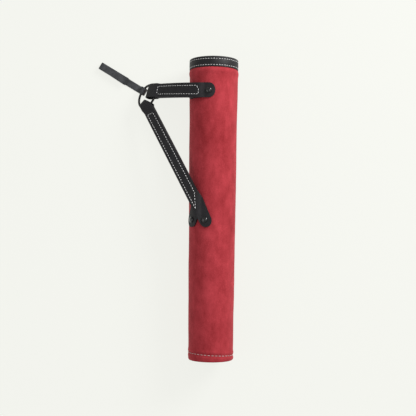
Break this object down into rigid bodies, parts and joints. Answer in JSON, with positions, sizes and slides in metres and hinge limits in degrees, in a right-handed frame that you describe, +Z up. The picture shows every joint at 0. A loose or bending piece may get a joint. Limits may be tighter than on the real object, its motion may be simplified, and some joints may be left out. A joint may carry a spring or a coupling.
{
  "type": "tube quiver",
  "caption": "Side quiver for arrows: a tapered suede tube with a bound leather mouth, riveted leather straps, a ring and a flat hook that slips over a belt.",
  "frame": {"origin": "on the surface the quiver lies on, under the middle of the whole object", "axes": "+Y along the tube towards its mouth, +Z up from the surface, so the straps and the hook lie on the -X side"},
  "size_m": [0.2282, 0.4805, 0.082],
  "materials": {
    "suede_sleeve": "matte",
    "liner_tube": "matte",
    "mouth_band": "satin",
    "base_cup": "satin",
    "base_pad": "matte",
    "upper_front_rivet": "gloss",
    "upper_back_rivet": "gloss",
    "lower_front_rivet": "gloss",
    "lower_back_rivet": "gloss",
    "upper_front_rivet_back": "gloss",
    "upper_back_rivet_back": "gloss",
    "lower_front_rivet_back": "gloss",
    "lower_back_rivet_back": "gloss",
    "upper_front_tail": "satin",
    "upper_back_tail": "satin",
    "lower_front_tail": "satin",
    "lower_back_tail": "satin",
    "upper_strap": "satin",
    "lower_strap": "satin",
    "ring": "satin",
    "belt_hook": "matte",
    "clip_leaf": "matte"
  },
  "bodies": {
    "tube": {"suede_sleeve": "suede_sleeve", "liner_tube": "liner_tube", "mouth_band": "mouth_band", "base_cup": "base_cup", "base_pad": "base_pad", "upper_front_rivet": "upper_front_rivet", "upper_back_rivet": "upper_back_rivet", "lower_front_rivet": "lower_front_rivet", "lower_back_rivet": "lower_back_rivet", "upper_front_rivet_back": "upper_front_rivet_back", "upper_back_rivet_back": "upper_back_rivet_back", "lower_front_rivet_back": "lower_front_rivet_back", "lower_back_rivet_back": "lower_back_rivet_back", "upper_front_tail": "upper_front_tail", "upper_back_tail": "upper_back_tail", "lower_front_tail": "lower_front_tail", "lower_back_tail": "lower_back_tail"},
    "straps": {"upper_strap": "upper_strap", "lower_strap": "lower_strap"},
    "ring": {"ring": "ring"},
    "hook": {"belt_hook": "belt_hook"},
    "leaf": {"clip_leaf": "clip_leaf"}
  },
  "joints": [
    {"name": "strap_swing", "type": "hinge", "parent": "tube", "child": "straps", "pos_m": [0.04935, 0.18458, 0.07425], "axis": [-0.0036, 0.9999, 0.011], "range_deg": [-8, 150], "stiffness_Nm_per_rad": 0.15, "springref_deg": 7.45},
    {"name": "ring_turn", "type": "hinge", "parent": "straps", "child": "ring", "pos_m": [-0.0324, 0.1829, 0.01936], "axis": [0.6998, -0.2827, -0.6561], "range_deg": [-60, 30]},
    {"name": "hook_swing", "type": "hinge", "parent": "ring", "child": "hook", "pos_m": [-0.04068, 0.19363, 0.0059], "axis": [0.509, 0.8607, 0], "range_deg": [-90, 95]},
    {"name": "clip_open", "type": "hinge", "parent": "hook", "child": "leaf", "pos_m": [-0.10773, 0.23328, 0.0072], "axis": [-0.509, -0.8607, 0], "range_deg": [0, 8], "stiffness_Nm_per_rad": 0.6, "springref_deg": -2.86}
  ]
}
